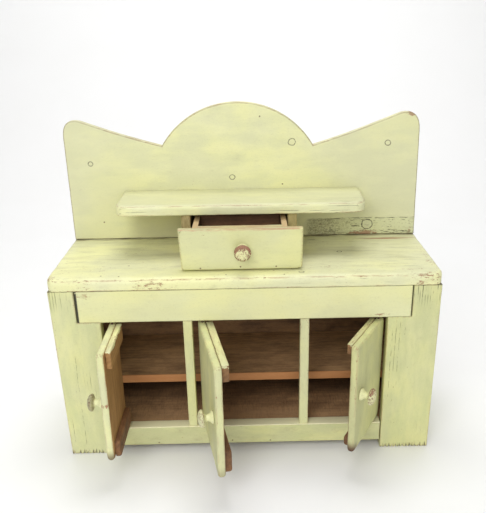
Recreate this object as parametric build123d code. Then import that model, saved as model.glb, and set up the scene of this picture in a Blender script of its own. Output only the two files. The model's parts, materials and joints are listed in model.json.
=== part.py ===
from build123d import *
import os

# Toy kitchen dresser: a low cupboard with three doors, a worktop, a shaped backboard,
# and a small drawer under an upper shelf.
#
# Drawn with x to the right, y into the depth (y = 0 on the cabinet's front face) and
# z = 0 on the floor, then moved by TO_ORIGIN so that the origin is the bottom centre of
# the whole object with its doors open and its drawer pulled out.  Millimetres.

# ---------------------------------------------------------------- driving dimensions
WIDTH = 760.0            # over the posts and the worktop
BASE_HEIGHT = 376.0      # floor to the underside of the worktop
TOP_THICKNESS = 24.0
TOP_DEPTH = 248.0        # front face to the back of the carcass
TOP_OVERHANG = 3.0       # worktop past the front face
FRONT_TO_MIDDLE = 38.1   # from the front face to the middle of the open object's depth

FRAME_THICKNESS = 22.0   # posts and top rail
LEFT_POST_WIDTH = 95.7
LEFT_FOOT_TAPER = 6.0    # the left post and side narrow by this much down to the floor
RIGHT_POST_WIDTH = 101.4
RAIL_HEIGHT = 68.0
RAIL_LEFT = -330.0       # ends of the top rail, in the notches of the posts
RAIL_RIGHT = 325.0
NOTCH_GAP = 0.6          # slack between the rail's ends and the posts

BOTTOM_RAIL_LOW = 19.0
BOTTOM_RAIL_HIGH = 63.0
BOTTOM_RAIL_THICKNESS = 24.0
BOTTOM_RAIL_END_GAP = 2.0

MUNTIN_WIDTH = 18.0
MUNTIN_THICKNESS = 19.0
MUNTIN_CENTRE = 115.2    # each side of the middle

SIDE_THICKNESS = 16.0
BACK_THICKNESS = 10.0
BACK_LOW = 20.0
BACK_BOARDS = ("lower", "middle", "upper")
BACK_JOINT_GAP = 1.0

FLOOR_HIGH = 60.0
FLOOR_THICKNESS = 16.0
SHELF_HIGH = 156.0
SHELF_THICKNESS = 18.0
SHELF_FRONT = 54.0
CLEAT_WIDTH = 18.0
CLEAT_HEIGHT = 20.0

BACKBOARD_THICKNESS = 16.0
WING_LEFT_CORNER = (-379.5, 673.5)   # before rounding; heights are above the floor
WING_RIGHT_CORNER = (374.0, 684.0)
WING_LEFT_RADIUS = 34.0
WING_RIGHT_RADIUS = 38.0
NOTCH_LEFT = (-173.0, 607.0)
NOTCH_RIGHT = (149.0, 604.0)
ARCH_TOP = (-15.0, 696.0)
BACKBOARD_FOOT = 379.5   # half the width of the backboard where it stands on the worktop

UPPER_SHELF_LEFT = (-264.0, -261.5)      # at the front edge and at the backboard
UPPER_SHELF_RIGHT = (249.5, 252.0)
UPPER_SHELF_HIGH = 511.0
UPPER_SHELF_THICKNESS = 22.0
UPPER_SHELF_DEPTH = 122.0
CHEEK_THICKNESS = 19.0
CHEEK_DEPTH = 112.0
CHEEK_LEFT = -129.0      # outer face of the left cheek
CHEEK_RIGHT = 107.0      # outer face of the right cheek

DRAWER_FRONT_LEFT = (-124.5, -128.0)    # at the lower edge and at the upper edge
DRAWER_FRONT_RIGHT = (112.0, 113.0)
DRAWER_FRONT_LOW = 402.5
DRAWER_FRONT_HIGH = 486.0
DRAWER_FRONT_THICKNESS = 24.0
DRAWER_LIP = 12.0        # thickness of the front past the rebates for the sides
DRAWER_LEFT = -103.0     # outer faces of the drawer box
DRAWER_RIGHT = 85.0
DRAWER_LOW = 400.6
DRAWER_HIGH = 478.0
DRAWER_DEPTH = 104.0
DRAWER_WALL = 11.5
DRAWER_BOTTOM = 8.0
DRAWER_PULLED = 66.0     # how far the drawer stands out of its closed place

DOOR_THICKNESS = 15.0
DOOR_LOW = 70.0
DOOR_HIGH = 301.0
DOOR_EDGE_RADIUS = 3.5
BATTEN_HINGE_INSET = 10.0
BATTEN_FREE_INSET = 11.5
PIVOT_INSET = 13.5       # pin axis from the door's hinge edge
PIVOT_DEPTH = 8.6        # pin axis behind the front face
PIN_RADIUS = 2.0
PIN_CLEARANCE = 0.05
PIN_IN_DOOR = 15.0
PIN_IN_RAIL = 17.0

# For each door: its width, the gap at its hinge edge, and how far it stands open.
# knob_inset is from the free edge to the knob, knob_height is above the floor.
# upper and lower are the heights between which each batten lies.
DOORS = {
    "left": dict(width=138.0, gap=7.0, open_deg=90.0, knob_inset=20.0, knob_height=190.0,
                 batten=10.8, upper=(265.0, 301.0), lower=(70.0, 106.0)),
    "centre": dict(width=197.0, gap=6.0, open_deg=78.0, knob_inset=33.0, knob_height=183.0,
                   batten=14.0, upper=(265.0, 300.0), lower=(70.0, 117.0)),
    "right": dict(width=145.0, gap=3.1, open_deg=60.0, knob_inset=26.0, knob_height=190.0,
                  batten=11.5, upper=(277.0, 298.5), lower=(72.0, 94.0)),
}

KNOB_LENGTH = 29.0
KNOB_HEAD_RADIUS = 16.8
KNOB_BASE_RADIUS = 12.5
KNOB_WAIST_RADIUS = 6.0
SPIGOT_RADIUS = 4.0
SPIGOT_LENGTH = 11.0

NAIL_RADIUS = 1.1
NAIL_HEAD_RADIUS = 2.4
NAIL_HEAD_THICKNESS = 1.2
NAIL_SET = 1.2           # a nail's head lies this far under the surface

# ---------------------------------------------------------------- worked-out places
HALF = WIDTH / 2
TOP_HIGH = BASE_HEIGHT + TOP_THICKNESS
LEFT_POST_EDGE = -HALF + LEFT_POST_WIDTH
RIGHT_POST_EDGE = HALF - RIGHT_POST_WIDTH
RAIL_LOW = BASE_HEIGHT - RAIL_HEIGHT
BOARD_BACK = TOP_DEPTH
BOARD_FRONT = TOP_DEPTH - BACKBOARD_THICKNESS
BACK_FRONT = TOP_DEPTH - BACK_THICKNESS
INNER_HALF = HALF - SIDE_THICKNESS
CHEEK_FRONT = BOARD_FRONT - CHEEK_DEPTH
UPPER_SHELF_LOW = UPPER_SHELF_HIGH - UPPER_SHELF_THICKNESS
MUNTIN_HALF = MUNTIN_WIDTH / 2
TO_ORIGIN = Pos(0, -FRONT_TO_MIDDLE, 0)


# ---------------------------------------------------------------- general shapes
def block(x0, x1, y0, y1, z0, z1):
    """A square-edged board between two corners."""
    middle = Pos((x0 + x1) / 2, (y0 + y1) / 2, (z0 + z1) / 2)
    return middle * Box(x1 - x0, y1 - y0, z1 - z0)


def eased(board, radius):
    """The same board with all its edges rounded a little."""
    return fillet(board.edges(), radius)


def group(solids):
    """Separate solids that share one node."""
    return Compound(children=list(solids))


def pointing(place, direction):
    """A place whose local +Z looks along a direction."""
    return Plane(origin=place, z_dir=direction).location


def nail(place, direction, length):
    """A nail with its head at place, driven along direction."""
    head = Pos(0, 0, NAIL_SET) * Cylinder(
        NAIL_HEAD_RADIUS, NAIL_HEAD_THICKNESS, align=(Align.CENTER, Align.CENTER, Align.MIN))
    shank = Pos(0, 0, NAIL_SET) * Cylinder(
        NAIL_RADIUS, length, align=(Align.CENTER, Align.CENTER, Align.MIN))
    return pointing(place, direction) * (head + shank)


def nails(places, direction, length):
    return group([nail(place, direction, length) for place in places])


# ---------------------------------------------------------------- worktop and backboard
def make_countertop():
    """Plank with round front corners; its top edge is well rounded in front and less at the ends."""
    corner_radius = 18.0
    front_radius = 12.0
    end_radius = 4.0
    lower_radius = 2.5
    past_ends = 10.0
    plank = block(-HALF, HALF, -TOP_OVERHANG, TOP_DEPTH, BASE_HEIGHT, TOP_HIGH)
    plank = fillet(plank.edges().filter_by(Axis.Z).group_by(Axis.Y)[0], corner_radius)
    for end, radius in ((-1, end_radius), (0, lower_radius)):
        back_edges = plank.edges().group_by(Axis.Y)[-1]
        plank = fillet(plank.edges().group_by(Axis.Z)[end] - back_edges, radius)
    rounded_bar = block(
        -HALF - past_ends, HALF + past_ends, -TOP_OVERHANG, TOP_DEPTH, BASE_HEIGHT, TOP_HIGH)
    front_edge = rounded_bar.edges().filter_by(Axis.X).group_by(Axis.Y)[0].sort_by(Axis.Z)[-1]
    return plank & fillet(front_edge, front_radius)


def backboard_outline():
    """Plank outline in the x-z plane: two wings that rise outwards, and an arch between."""
    left_foot = (-BACKBOARD_FOOT, TOP_HIGH)
    right_foot = (BACKBOARD_FOOT, TOP_HIGH)
    outline = make_face([
        Line(left_foot, WING_LEFT_CORNER),
        Line(WING_LEFT_CORNER, NOTCH_LEFT),
        ThreePointArc(NOTCH_LEFT, ARCH_TOP, NOTCH_RIGHT),
        Line(NOTCH_RIGHT, WING_RIGHT_CORNER),
        Line(WING_RIGHT_CORNER, right_foot),
        Line(right_foot, left_foot)])
    for corner, radius in ((WING_LEFT_CORNER, WING_LEFT_RADIUS), (WING_RIGHT_CORNER, WING_RIGHT_RADIUS)):
        outline = fillet(outline.vertices().sort_by_distance((*corner, 0))[0], radius)
    return outline


def make_backboard():
    """The outline as a plank, its upper edges eased at the front and at the back."""
    ease = 2.5
    upright = Plane(origin=(0, BOARD_BACK, 0), x_dir=(1, 0, 0), z_dir=(0, -1, 0))
    plank = extrude(upright * backboard_outline(), amount=BACKBOARD_THICKNESS)
    faces = plank.edges().filter_by(lambda e: abs(e.tangent_at(0.5).Y) < 0.5)
    return fillet(faces.filter_by(lambda e: e.center().Z > TOP_HIGH + 1), ease)


# ---------------------------------------------------------------- front frame
def upright_board(points, front, back):
    """A board between two depths, from its outline in the x-z plane."""
    upright = Plane(origin=(0, back, 0), x_dir=(1, 0, 0), z_dir=(0, -1, 0))
    return extrude(upright * make_face(Polyline(*points, close=True)), amount=back - front)


def make_post(outer, inner, rail_end, foot_taper):
    """Wide stile with a notch at its upper inner corner for the end of the top rail."""
    inward = 1 if outer < inner else -1
    step = rail_end - inward * NOTCH_GAP
    foot = outer + inward * foot_taper
    points = (
        (foot, 0), (inner, 0), (inner, RAIL_LOW), (step, RAIL_LOW),
        (step, BASE_HEIGHT), (outer, BASE_HEIGHT))
    return upright_board(points, 0, FRAME_THICKNESS)


def make_top_rail():
    return block(RAIL_LEFT, RAIL_RIGHT, 0, FRAME_THICKNESS, RAIL_LOW, BASE_HEIGHT)


def make_bottom_rail():
    right = RIGHT_POST_EDGE - BOTTOM_RAIL_END_GAP
    return block(LEFT_POST_EDGE, right, 0, BOTTOM_RAIL_THICKNESS, BOTTOM_RAIL_LOW, BOTTOM_RAIL_HIGH)


def make_muntin(side):
    x = side * MUNTIN_CENTRE
    return block(x - MUNTIN_HALF, x + MUNTIN_HALF, 0, MUNTIN_THICKNESS, BOTTOM_RAIL_HIGH, RAIL_LOW)


# ---------------------------------------------------------------- box behind the frame
def make_side_panel(side, foot_taper):
    """Board from the frame to the back; its outer face may lean in towards the floor."""
    foot = side * (HALF - foot_taper)
    points = (
        (foot, 0), (side * INNER_HALF, 0), (side * INNER_HALF, BASE_HEIGHT), (side * HALF, BASE_HEIGHT))
    return upright_board(points, FRAME_THICKNESS, BACK_FRONT)


def make_back_board(index):
    """One of the horizontal boards that close the back."""
    pitch = (BASE_HEIGHT - BACK_LOW) / len(BACK_BOARDS)
    low = BACK_LOW + index * pitch
    return block(-HALF, HALF, BACK_FRONT, BOARD_BACK, low, low + pitch - BACK_JOINT_GAP)


def make_floor_panel():
    low = FLOOR_HIGH - FLOOR_THICKNESS
    return block(-INNER_HALF, INNER_HALF, BOTTOM_RAIL_THICKNESS, BACK_FRONT, low, FLOOR_HIGH)


def make_inner_shelf():
    low = SHELF_HIGH - SHELF_THICKNESS
    return block(-INNER_HALF, INNER_HALF, SHELF_FRONT, BACK_FRONT, low, SHELF_HIGH)


def make_cleat(side, board_low, front):
    """Batten on a side panel, under the end of the floor or the inner shelf."""
    front_inset = 4.0
    back_inset = 6.0
    x0, x1 = sorted((side * INNER_HALF, side * (INNER_HALF - CLEAT_WIDTH)))
    return block(
        x0, x1, front + front_inset, BACK_FRONT - back_inset, board_low - CLEAT_HEIGHT, board_low)


# ---------------------------------------------------------------- upper shelf and drawer housing
def make_upper_shelf():
    """Plank with slightly skewed ends, round front corners and a rounded top edge."""
    corner_radius = 24.0
    top_radius = 7.0
    lower_radius = 2.5
    front = BOARD_FRONT - UPPER_SHELF_DEPTH
    points = (
        (UPPER_SHELF_LEFT[0], front), (UPPER_SHELF_RIGHT[0], front),
        (UPPER_SHELF_RIGHT[1], BOARD_FRONT), (UPPER_SHELF_LEFT[1], BOARD_FRONT))
    outline = Pos(0, 0, UPPER_SHELF_LOW) * make_face(Polyline(*points, close=True))
    plank = extrude(outline, UPPER_SHELF_THICKNESS, dir=(0, 0, 1))
    plank = fillet(plank.edges().filter_by(Axis.Z).group_by(Axis.Y)[0], corner_radius)
    for end, radius in ((-1, top_radius), (0, lower_radius)):
        back_edges = plank.edges().group_by(Axis.Y)[-1]
        rim = plank.edges().group_by(Axis.Z)[end] - back_edges
        plank = fillet(rim, radius)
    return plank


def make_cheek(outer, side):
    x0, x1 = sorted((outer, outer - side * CHEEK_THICKNESS))
    return block(x0, x1, CHEEK_FRONT, BOARD_FRONT, TOP_HIGH, UPPER_SHELF_LOW)


# ---------------------------------------------------------------- knobs
def knob_profile():
    """Half section of a turned knob: spigot, flared base, waist and domed head."""
    neck = 0.45 * KNOB_LENGTH
    rim = 0.72 * KNOB_LENGTH
    start = (0, -SPIGOT_LENGTH)
    spigot = Polyline(start, (SPIGOT_RADIUS, -SPIGOT_LENGTH), (SPIGOT_RADIUS, 0), (KNOB_BASE_RADIUS, 0))
    flare = Spline(
        [(KNOB_BASE_RADIUS, 0), (KNOB_BASE_RADIUS - 0.6, 3.0), (KNOB_WAIST_RADIUS, neck)],
        tangents=[(0, 1), (0, 1)])
    under_head = Spline(
        [(KNOB_WAIST_RADIUS, neck), (KNOB_HEAD_RADIUS, rim)], tangents=[(0, 1), (0, 1)])
    dome = Spline([(KNOB_HEAD_RADIUS, rim), (0, KNOB_LENGTH)], tangents=[(0, 1), (-1, 0)])
    axis = Line((0, KNOB_LENGTH), start)
    return make_face([*spigot.edges(), flare, under_head, dome, axis])


def make_knob(place, direction):
    """Turned knob that stands on a surface at place and points along direction."""
    turned = revolve(Plane.XZ * knob_profile(), Axis.Z)
    return pointing(place, direction) * turned


# ---------------------------------------------------------------- drawer, drawn where it stands
def drawer_places():
    """Depths of the front's face, the box's front end and the box's back end."""
    face = CHEEK_FRONT - DRAWER_FRONT_THICKNESS - DRAWER_PULLED
    box_front = face + DRAWER_FRONT_THICKNESS
    return face, box_front, box_front + DRAWER_DEPTH


def make_drawer_front(inner_left, inner_right):
    """Front with a thin lip past each side; the sides stand in the rebates behind the lips."""
    corner_radius = 5.0
    edge_radius = 2.5
    face, box_front, _ = drawer_places()
    points = (
        (DRAWER_FRONT_LEFT[0], DRAWER_FRONT_LOW), (DRAWER_FRONT_RIGHT[0], DRAWER_FRONT_LOW),
        (DRAWER_FRONT_RIGHT[1], DRAWER_FRONT_HIGH), (DRAWER_FRONT_LEFT[1], DRAWER_FRONT_HIGH))
    lip_back = face + DRAWER_LIP
    lip = upright_board(points, face, lip_back)
    lip = fillet(lip.edges().filter_by(Axis.Y).group_by(Axis.Z)[0], corner_radius)
    lip = fillet(lip.edges().group_by(Axis.Y)[0], edge_radius)
    core = block(inner_left, inner_right, lip_back, box_front, DRAWER_FRONT_LOW, DRAWER_FRONT_HIGH)
    return lip + core


def drawer_nail_places(face, middle):
    """Through the front into the bottom, and through the lips into the ends of the sides."""
    bottom_z = DRAWER_LOW + DRAWER_BOTTOM / 2 + 1.0
    into_bottom = [(middle + x, face, bottom_z) for x in (-78.0, -5.0, 62.0)]
    side_x = (DRAWER_LEFT + DRAWER_WALL / 2, DRAWER_RIGHT - DRAWER_WALL / 2)
    into_sides = [(x, face, z) for x in side_x for z in (430.0, 460.0)]
    return into_bottom + into_sides


def make_drawer():
    """All the drawer's pieces, by node name."""
    nail_length = 42.0
    face, box_front, box_back = drawer_places()
    inner_left = DRAWER_LEFT + DRAWER_WALL
    inner_right = DRAWER_RIGHT - DRAWER_WALL
    bottom_high = DRAWER_LOW + DRAWER_BOTTOM
    lip_back = face + DRAWER_LIP
    middle = (DRAWER_FRONT_LEFT[0] + DRAWER_FRONT_RIGHT[0]) / 2
    knob_place = (middle + 2.0, face, (DRAWER_FRONT_LOW + DRAWER_FRONT_HIGH) / 2)
    return {
        "drawer_front": make_drawer_front(inner_left, inner_right),
        "drawer_left_side": block(DRAWER_LEFT, inner_left, lip_back, box_back, DRAWER_LOW, DRAWER_HIGH),
        "drawer_right_side": block(inner_right, DRAWER_RIGHT, lip_back, box_back, DRAWER_LOW, DRAWER_HIGH),
        "drawer_back": block(
            inner_left, inner_right, box_back - DRAWER_WALL, box_back, bottom_high, DRAWER_HIGH),
        "drawer_bottom": block(inner_left, inner_right, box_front, box_back, DRAWER_LOW, bottom_high),
        "drawer_knob": make_knob(knob_place, (0, -1, 0)),
        "drawer_nails": nails(drawer_nail_places(face, middle), (0, 1, 0), nail_length),
    }


# ---------------------------------------------------------------- doors
def door_frame(name):
    """The pin axis of a door (x), and the side that it opens from (+1 hinged at its left)."""
    door = DOORS[name]
    if name == "left":
        return LEFT_POST_EDGE + door["gap"] + PIVOT_INSET, 1
    if name == "centre":
        return -MUNTIN_CENTRE + MUNTIN_HALF + door["gap"] + PIVOT_INSET, 1
    return RIGHT_POST_EDGE - door["gap"] - PIVOT_INSET, -1


def pin_hole(height, direction):
    return pointing((0, 0, height), (0, 0, direction)) * Cylinder(
        PIN_RADIUS + PIN_CLEARANCE, PIN_IN_DOOR, align=(Align.CENTER, Align.CENTER, Align.MIN))


def door_battens(name, free):
    """The two battens across the inner face, their free ends rounded; drawn closed about the pin."""
    door = DOORS[name]
    _, side = door_frame(name)
    edge_radius = 2.5
    near = -PIVOT_INSET + BATTEN_HINGE_INSET
    far = free - BATTEN_FREE_INSET
    x0, x1 = sorted((side * near, side * far))
    inner_face = DOOR_THICKNESS / 2
    made = []
    for low, high in (door["upper"], door["lower"]):
        batten = block(x0, x1, inner_face, inner_face + door["batten"], low, high)
        inner_edges = batten.edges().group_by(Axis.Y)[-1]
        made.append(fillet(inner_edges, edge_radius))
    return made


def door_nails(name, free):
    """Nails through the panel into the middle of each batten."""
    door = DOORS[name]
    _, side = door_frame(name)
    from_end = 14.0
    nail_length = 21.0
    near = -PIVOT_INSET + BATTEN_HINGE_INSET + from_end
    far = free - BATTEN_FREE_INSET - from_end
    places = [
        (side * along, -DOOR_THICKNESS / 2, (low + high) / 2)
        for low, high in (door["lower"], door["upper"])
        for along in (near, far)]
    return nails(places, (0, 1, 0), nail_length)


def make_door(name):
    """A door's pieces, drawn closed about its pin axis and then turned open."""
    door = DOORS[name]
    axis_x, side = door_frame(name)
    half = DOOR_THICKNESS / 2
    free = door["width"] - PIVOT_INSET
    x0, x1 = sorted((-side * PIVOT_INSET, side * free))
    panel = eased(block(x0, x1, -half, half, DOOR_LOW, DOOR_HIGH), DOOR_EDGE_RADIUS)
    panel -= pin_hole(DOOR_LOW - 1.0, 1)
    panel -= pin_hole(DOOR_HIGH + 1.0, -1)
    upper, lower = door_battens(name, free)
    knob_place = (side * (free - door["knob_inset"]), -half, door["knob_height"])
    pieces = {
        "panel": panel,
        "upper_batten": upper,
        "lower_batten": lower,
        "knob": make_knob(knob_place, (0, -1, 0)),
        "nails": door_nails(name, free),
    }
    turned = Pos(axis_x, PIVOT_DEPTH, 0) * Rot(0, 0, -side * door["open_deg"])
    return {f"{name}_door_{piece}": turned * shape for piece, shape in pieces.items()}


def make_hinge_pins(name):
    """The two steel pins that a door turns on, one in each rail."""
    axis_x, _ = door_frame(name)
    upper_low = DOOR_HIGH - PIN_IN_DOOR + 2.0
    lower_high = DOOR_LOW + PIN_IN_DOOR - 2.0
    spans = {
        "upper": (upper_low, RAIL_LOW + PIN_IN_RAIL),
        "lower": (BOTTOM_RAIL_HIGH - PIN_IN_RAIL, lower_high),
    }
    pins = {}
    for end, (low, high) in spans.items():
        pin = Cylinder(PIN_RADIUS, high - low)
        pins[f"{name}_door_{end}_pin"] = Pos(axis_x, PIVOT_DEPTH, (low + high) / 2) * pin
    return pins


# ---------------------------------------------------------------- nails of the carcass
def make_countertop_nails():
    """Nails down through the worktop into the posts, the rail and the side panels."""
    front = [(x, FRAME_THICKNESS / 2, TOP_HIGH) for x in (-345.0, -170.0, 0.0, 170.0, 345.0)]
    sides = [(s * (HALF - SIDE_THICKNESS / 2), y, TOP_HIGH) for s in (-1, 1) for y in (90.0, 200.0)]
    return nails(front + sides, (0, 0, -1), 55.0)


def make_backboard_nails():
    """Nails up through the worktop into the foot of the backboard."""
    y = (BOARD_FRONT + BOARD_BACK) / 2
    return nails([(x, y, BASE_HEIGHT) for x in (-300.0, -150.0, 0.0, 150.0, 300.0)], (0, 0, 1), 55.0)


def make_upper_shelf_nails():
    """Nails through the backboard into the upper shelf, and down through it into the cheeks."""
    shelf_middle = UPPER_SHELF_LOW + UPPER_SHELF_THICKNESS / 2
    back = [nail((x, BOARD_BACK, shelf_middle), (0, -1, 0), 50.0) for x in (-230.0, -60.0, 45.0, 220.0)]
    cheek_x = (CHEEK_LEFT + CHEEK_THICKNESS / 2, CHEEK_RIGHT - CHEEK_THICKNESS / 2)
    down = [nail((x, y, UPPER_SHELF_HIGH), (0, 0, -1), 45.0) for x in cheek_x for y in (145.0, 205.0)]
    return group(back + down)


def make_frame_nails():
    """Nails through the posts into the side panels, and through the rails into the muntins."""
    from_side = 11.0
    post_x = (-HALF + from_side, HALF - from_side)
    posts = [nail((x, 0, z), (0, 1, 0), 50.0) for x in post_x for z in (72.0, 190.0, 320.0)]
    foot = [
        nail((s * MUNTIN_CENTRE, MUNTIN_THICKNESS / 2, BOTTOM_RAIL_LOW), (0, 0, 1), 62.0)
        for s in (-1, 1)]
    return group(posts + foot)


def make_back_nails():
    """Nails through the ends of the back boards into the side panels."""
    pitch = (BASE_HEIGHT - BACK_LOW) / len(BACK_BOARDS)
    x = HALF - SIDE_THICKNESS / 2
    heights = [BACK_LOW + (i + f) * pitch for i in range(len(BACK_BOARDS)) for f in (0.25, 0.75)]
    return nails([(s * x, BOARD_BACK, z) for s in (-1, 1) for z in heights], (0, -1, 0), 32.0)


# ---------------------------------------------------------------- the whole object
def make_carcass():
    """The fixed pieces, by node name."""
    floor_low = FLOOR_HIGH - FLOOR_THICKNESS
    shelf_low = SHELF_HIGH - SHELF_THICKNESS
    pieces = {
        "countertop": make_countertop(),
        "backboard": make_backboard(),
        "left_post": make_post(-HALF, LEFT_POST_EDGE, RAIL_LEFT, LEFT_FOOT_TAPER),
        "right_post": make_post(HALF, RIGHT_POST_EDGE, RAIL_RIGHT, 0.0),
        "top_rail": make_top_rail(),
        "bottom_rail": make_bottom_rail(),
        "left_muntin": make_muntin(-1),
        "right_muntin": make_muntin(1),
        "left_side_panel": make_side_panel(-1, LEFT_FOOT_TAPER),
        "right_side_panel": make_side_panel(1, 0.0),
        "floor_panel": make_floor_panel(),
        "left_floor_cleat": make_cleat(-1, floor_low, BOTTOM_RAIL_THICKNESS),
        "right_floor_cleat": make_cleat(1, floor_low, BOTTOM_RAIL_THICKNESS),
        "inner_shelf": make_inner_shelf(),
        "left_shelf_cleat": make_cleat(-1, shelf_low, SHELF_FRONT),
        "right_shelf_cleat": make_cleat(1, shelf_low, SHELF_FRONT),
        "upper_shelf": make_upper_shelf(),
        "left_drawer_cheek": make_cheek(CHEEK_LEFT, -1),
        "right_drawer_cheek": make_cheek(CHEEK_RIGHT, 1),
        "countertop_nails": make_countertop_nails(),
        "backboard_nails": make_backboard_nails(),
        "upper_shelf_nails": make_upper_shelf_nails(),
        "frame_nails": make_frame_nails(),
        "back_nails": make_back_nails(),
    }
    for index, level in enumerate(BACK_BOARDS):
        pieces[f"back_board_{level}"] = make_back_board(index)
    for name in DOORS:
        pieces.update(make_hinge_pins(name))
    return pieces


def main():
    pieces = make_carcass()
    pieces.update(make_drawer())
    for name in DOORS:
        pieces.update(make_door(name))
    os.makedirs("parts", exist_ok=True)
    for name, shape in pieces.items():
        placed = TO_ORIGIN * shape
        placed.label = name
        export_step(placed, f"parts/{name}.step")
    whole = Compound(children=[TO_ORIGIN * shape for shape in pieces.values()])
    box = whole.bounding_box()
    print("nodes", len(pieces))
    print("low", box.min, "high", box.max)


main()
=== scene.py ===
import json
import math

import bpy
import numpy as np
from mathutils import Matrix, Vector, noise
from mathutils.geometry import delaunay_2d_cdt


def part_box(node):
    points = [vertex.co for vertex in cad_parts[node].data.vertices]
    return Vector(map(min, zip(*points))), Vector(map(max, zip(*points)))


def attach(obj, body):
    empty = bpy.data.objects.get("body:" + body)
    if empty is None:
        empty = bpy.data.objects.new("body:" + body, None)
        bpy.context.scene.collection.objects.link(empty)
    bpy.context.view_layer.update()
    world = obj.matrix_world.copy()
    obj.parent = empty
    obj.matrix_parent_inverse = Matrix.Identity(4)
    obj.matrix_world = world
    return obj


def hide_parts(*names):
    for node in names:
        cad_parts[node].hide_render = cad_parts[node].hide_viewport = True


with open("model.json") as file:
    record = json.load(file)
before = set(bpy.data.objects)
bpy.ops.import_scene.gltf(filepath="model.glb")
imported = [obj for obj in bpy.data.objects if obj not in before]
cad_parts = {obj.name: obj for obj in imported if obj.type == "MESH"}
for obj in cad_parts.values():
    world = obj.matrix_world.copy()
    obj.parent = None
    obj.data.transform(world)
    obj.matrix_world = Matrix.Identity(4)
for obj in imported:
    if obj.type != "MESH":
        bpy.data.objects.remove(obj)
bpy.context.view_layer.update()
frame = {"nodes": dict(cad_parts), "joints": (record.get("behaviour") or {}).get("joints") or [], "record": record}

# Looks of a hand-made toy kitchen dresser: planks under brushed yellow-green paint, bare wood inside.
# Every plank is a mesh in its own frame, with local x along the grain and local z out of its best face.
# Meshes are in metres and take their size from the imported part's boxes; marks on them are in millimetres.

MM = 0.001
UP = Vector((0, 0, 1))
FRONT = Vector((0, -1, 0))
BACK = Vector((0, 1, 0))
LEFT = Vector((-1, 0, 0))
RIGHT = Vector((1, 0, 0))


# ---- frames and outlines
def frame_from(origin, grain, outward):
    """Matrix whose local x runs along the grain and whose local z points out of the best face."""
    x = Vector(grain).normalized()
    z = Vector(outward).normalized()
    y = z.cross(x)
    matrix = Matrix((x, y, z)).transposed().to_4x4()
    matrix.translation = Vector(origin)
    return matrix


def board_frame(low, high, grain, outward):
    """Frame, length, width and thickness of a board that fills a box."""
    matrix = frame_from((0, 0, 0), grain, outward)
    back = matrix.inverted()
    ends = (low, high)
    nearest, farthest = extent(
        [back @ Vector((a.x, b.y, c.z)) for a in ends for b in ends for c in ends])
    matrix.translation = matrix @ nearest
    return matrix, *(farthest - nearest)


def extent(points):
    """Lowest and highest corner of the box round some points."""
    low = Vector([min(p[i] for p in points) for i in range(3)])
    high = Vector([max(p[i] for p in points) for i in range(3)])
    return low, high


def rounded_outline(points, radius, steps=4):
    """Closed outline with each corner turned into a small arc; radius is one value or one per corner."""
    radii = radius if hasattr(radius, "__len__") else [radius] * len(points)
    made = []
    for i, (corner, r) in enumerate(zip(points, radii)):
        corner = Vector(corner)
        before = Vector(points[i - 1]) - corner
        after = (Vector(points[(i + 1) % len(points)]) - corner)
        turn = before.angle(after)
        if r <= 0 or turn > math.pi - 0.02:
            made.append(corner)
            continue
        cut = min(r / math.tan(turn / 2), before.length * 0.45, after.length * 0.45)
        a = corner + before.normalized() * cut
        b = corner + after.normalized() * cut
        for k in range(steps + 1):
            t = k / steps
            made.append(a * (1 - t) ** 2 + corner * 2 * t * (1 - t) + b * t ** 2)
    return made


def resampled(points, spacing):
    """The closed outline with no stretch longer than spacing."""
    made = []
    for i, a in enumerate(points):
        b = points[(i + 1) % len(points)]
        parts = max(1, math.ceil((b - a).length / spacing))
        made.extend(a.lerp(b, k / parts) for k in range(parts))
    return np.array([(p.x, p.y) for p in made])


def inward_normals(outline):
    """Unit normals that point into a counter-clockwise outline, and the mitre that keeps insets parallel."""
    ahead = np.roll(outline, -1, 0) - outline
    behind = outline - np.roll(outline, 1, 0)
    ahead /= np.linalg.norm(ahead, axis=1, keepdims=True)
    behind /= np.linalg.norm(behind, axis=1, keepdims=True)
    n1 = np.stack([-ahead[:, 1], ahead[:, 0]], 1)
    n2 = np.stack([-behind[:, 1], behind[:, 0]], 1)
    middle = n1 + n2
    middle /= np.maximum(np.linalg.norm(middle, axis=1, keepdims=True), 1e-9)
    mitre = 1 / np.clip((middle * n1).sum(1), 0.6, 1)
    return middle * mitre[:, None]


def distance_to_outline(points, outline):
    """Distance of each point to the closed outline."""
    a, b = outline, np.roll(outline, -1, 0)
    ab = b - a
    best = np.full(len(points), 1e9)
    for start in range(0, len(points), 512):
        p = points[start:start + 512, None, :]
        t = np.clip(((p - a) * ab).sum(2) / np.maximum((ab * ab).sum(1), 1e-12), 0, 1)
        gap = np.linalg.norm(p - (a + t[..., None] * ab), axis=2)
        best[start:start + 512] = gap.min(1)
    return best


def inside(points, outline):
    """Which points lie inside the closed outline."""
    x, y = points[:, 0:1], points[:, 1:2]
    x1, y1 = outline.T
    x2, y2 = np.roll(outline, -1, 0).T
    crosses = (y1 > y) != (y2 > y)
    with np.errstate(divide="ignore", invalid="ignore"):
        at = (x2 - x1) * (y - y1) / (y2 - y1) + x1
    return (crosses & (x < at)).sum(1) % 2 == 1


def wobble(x, y, z, scale, seed):
    """Smooth noise from -1 to 1 at a point in millimetre-like units."""
    return noise.noise(Vector((x / scale + seed * 7.3, y / scale - seed * 3.1, z / scale + seed)))


# ---- planks
SHEET_INSETS = (1.6 * MM, 4 * MM, 9 * MM)
OUTLINE_SPACING = 5 * MM
GRID = 11 * MM
UNEVEN = 0.22 * MM


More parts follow.
